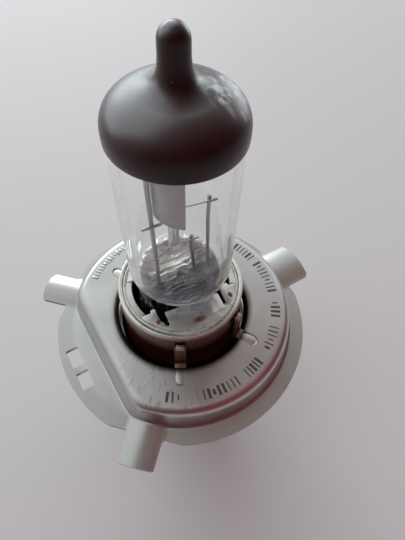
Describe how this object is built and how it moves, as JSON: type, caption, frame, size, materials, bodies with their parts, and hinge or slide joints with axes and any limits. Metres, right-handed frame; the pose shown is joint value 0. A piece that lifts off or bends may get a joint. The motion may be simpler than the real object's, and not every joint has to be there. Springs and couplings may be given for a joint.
{
  "type": "headlight bulb",
  "caption": "Two-filament halogen headlight bulb: coated glass tube on a flange with locating lugs, metal base and flat terminal blades.",
  "frame": {"origin": "centre of the terminal insulator's underside, where the wiring plug seats", "axes": "+Z along the bulb axis from the blades to the glass tip; +X towards the wide reference lug, so that the flat side of the boss faces -X; +Y completes a right-handed frame"},
  "size_m": [0.0472, 0.043, 0.08],
  "materials": {
    "stainless": "satin stainless sheet, fine drawn grain",
    "nickel_steel": "smooth nickel plate with a warm tint",
    "quartz_glass": "clear polished quartz",
    "dark_coating": "satin brown-black heat-proof coating",
    "molybdenum": "satin grey wire and sheet",
    "tungsten": "grey drawn wire",
    "insulator_grey": "matt moulded insulator",
    "plated_brass": "tin-plated blade"
  },
  "bodies": {
    "root": {"flange_ring": "stainless", "sleeve": "nickel_steel", "holder_cup": "stainless", "clamp_spring_front": "stainless", "clamp_spring_back": "stainless", "glass_envelope": "quartz_glass", "top_coating": "dark_coating", "common_post": "molybdenum", "high_beam_post": "molybdenum", "low_beam_post": "molybdenum", "common_foil": "molybdenum", "high_beam_foil": "molybdenum", "low_beam_foil": "molybdenum", "common_lead": "molybdenum", "high_beam_lead": "molybdenum", "low_beam_lead": "molybdenum", "high_beam_filament": "tungsten", "low_beam_filament": "tungsten", "high_beam_upper_crossbar": "molybdenum", "high_beam_lower_crossbar": "molybdenum", "low_beam_upper_crossbar": "molybdenum", "low_beam_lower_crossbar": "molybdenum", "glare_shield": "molybdenum", "base_shell": "stainless", "terminal_insulator": "insulator_grey", "high_beam_blade": "plated_brass", "common_blade": "plated_brass", "low_beam_blade": "plated_brass"}
  },
  "joints": []
}
